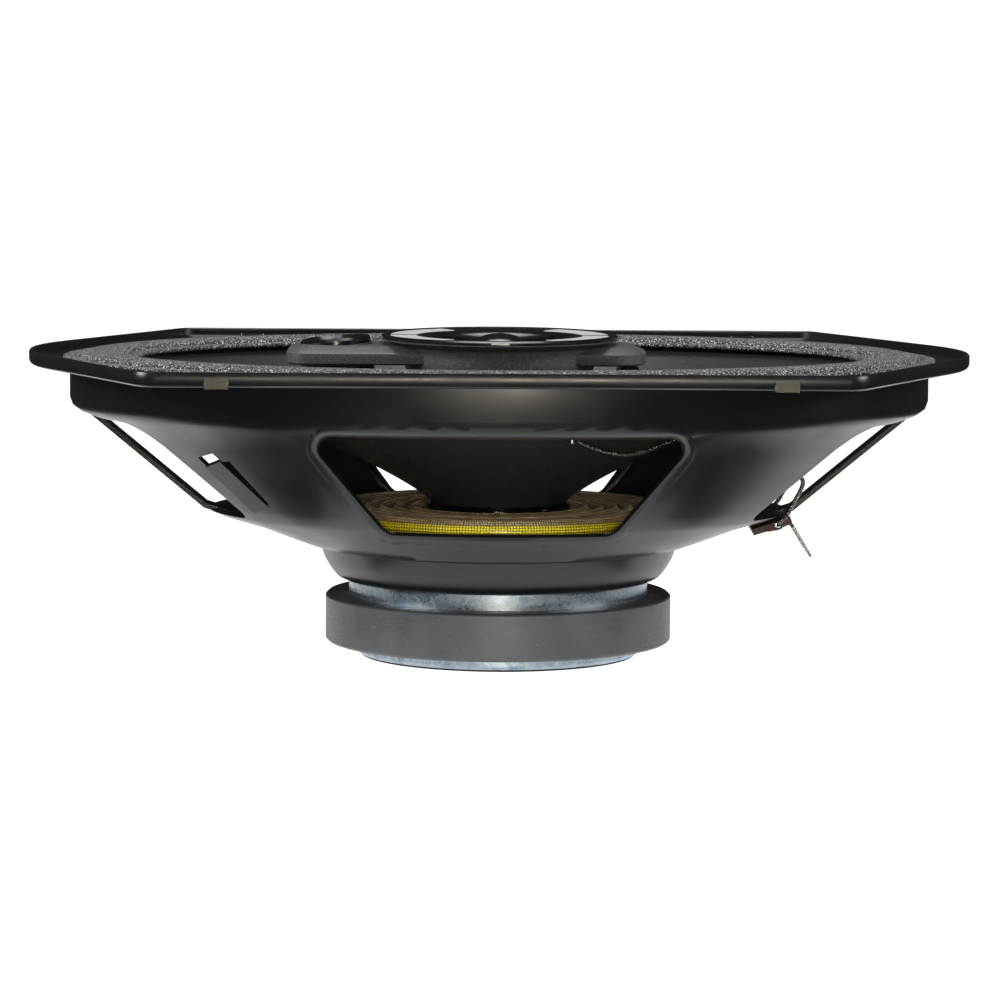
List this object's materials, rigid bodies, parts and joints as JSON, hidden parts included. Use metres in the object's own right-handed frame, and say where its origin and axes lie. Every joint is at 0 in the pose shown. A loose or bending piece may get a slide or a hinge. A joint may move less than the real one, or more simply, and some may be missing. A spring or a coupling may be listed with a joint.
{
  "type": "coaxial car speaker",
  "caption": "Oval car speaker with a pressed-steel basket, ferrite motor, sprung cone and a post-mounted bridge that carries a midrange and a tweeter.",
  "frame": {"origin": "centre of the four mounting holes, in the plane of the flange's underside that meets the panel", "axes": "+Z towards the listener, +X along the long axis towards the terminals, +Y across"},
  "size_m": [0.2348, 0.1634, 0.0806],
  "materials": {
    "basket_paint": "semi-matte black paint",
    "clip_zinc": "dull zinc",
    "plate_zinc": "zinc plated",
    "stud_steel": "zinc plated",
    "ferrite": "ground matt ferrite",
    "yoke_zinc": "zinc plated",
    "post_paint": "black",
    "screw_steel": "zinc plated",
    "fibre_board": "dark fibre board",
    "rivet_steel": "zinc plated",
    "solder": "bright solder",
    "tab_tin": "tinned",
    "tab_tin_small": "tinned",
    "braid": "braided tinsel",
    "braid_far": "braided tinsel",
    "cone_gloss": "glossy black",
    "former_film": "amber film",
    "coil_copper": "enamelled copper",
    "eyelet_tin": "tinned",
    "spider_weave": "resin-stiffened weave",
    "surround_foam": "speckled black foam",
    "bridge_plastic": "satin black moulding",
    "rim_plastic": "gloss black",
    "bezel_satin": "satin grey",
    "mid_yoke_zinc": "zinc plated",
    "mid_magnet_dark": "matt magnet",
    "mid_plate_zinc": "zinc plated",
    "mid_cone_black": "black paper",
    "mid_cap_black": "black paper",
    "mid_former_film": "amber film",
    "mid_coil_copper": "enamelled copper",
    "mid_surround_cloth": "coated cloth",
    "tweeter_ring_plastic": "gloss black",
    "tweeter_yoke_zinc": "zinc plated",
    "tweeter_magnet_dark": "matt magnet",
    "tweeter_plate_zinc": "zinc plated",
    "dome_film": "gloss film",
    "tweeter_coil_copper": "enamelled copper",
    "capacitor_sleeve": "shrink sleeve"
  },
  "bodies": {
    "frame": {"basket": "basket_paint", "grille_clips": "clip_zinc", "front_plate": "plate_zinc", "plate_studs": "stud_steel", "magnet_ring": "ferrite", "pole_yoke": "yoke_zinc", "post": "post_paint", "post_screw": "screw_steel", "terminal_board": "fibre_board", "terminal_rivet": "rivet_steel", "solder_lugs": "solder", "tab_positive": "tab_tin", "tab_negative": "tab_tin_small", "bridge_housing": "bridge_plastic", "mid_rim_ring": "rim_plastic", "mid_bezel": "bezel_satin", "mid_yoke": "mid_yoke_zinc", "mid_magnet": "mid_magnet_dark", "mid_pole_plate": "mid_plate_zinc", "tweeter_ring": "tweeter_ring_plastic", "tweeter_yoke": "tweeter_yoke_zinc", "tweeter_magnet": "tweeter_magnet_dark", "tweeter_pole_plate": "tweeter_plate_zinc", "crossover_capacitor": "capacitor_sleeve"},
    "woofer_cone": {"cone": "cone_gloss", "coil_former": "former_film", "voice_coil": "coil_copper", "lead_eyelets": "eyelet_tin", "spider": "spider_weave", "surround": "surround_foam", "lead_positive": "braid", "lead_negative": "braid_far"},
    "midrange_cone": {"mid_cone": "mid_cone_black", "mid_dust_cap": "mid_cap_black", "mid_former": "mid_former_film", "mid_coil": "mid_coil_copper", "mid_surround": "mid_surround_cloth"},
    "tweeter_diaphragm": {"tweeter_dome": "dome_film", "tweeter_coil": "tweeter_coil_copper"}
  },
  "joints": [
    {"name": "woofer_excursion", "type": "slide", "parent": "frame", "child": "woofer_cone", "axis": [0, 0, 1], "range_m": [-0.004, 0.004], "stiffness_N_per_m": 1500, "deforming": ["spider", "surround", "lead_positive", "lead_negative"]},
    {"name": "midrange_excursion", "type": "slide", "parent": "frame", "child": "midrange_cone", "axis": [0, 0, 1], "range_m": [-0.0008, 0.0008], "stiffness_N_per_m": 800, "deforming": ["mid_surround"]},
    {"name": "tweeter_excursion", "type": "slide", "parent": "frame", "child": "tweeter_diaphragm", "axis": [-0.0872, 0, 0.9962], "range_m": [-0.0002, 0.0002], "stiffness_N_per_m": 400}
  ]
}
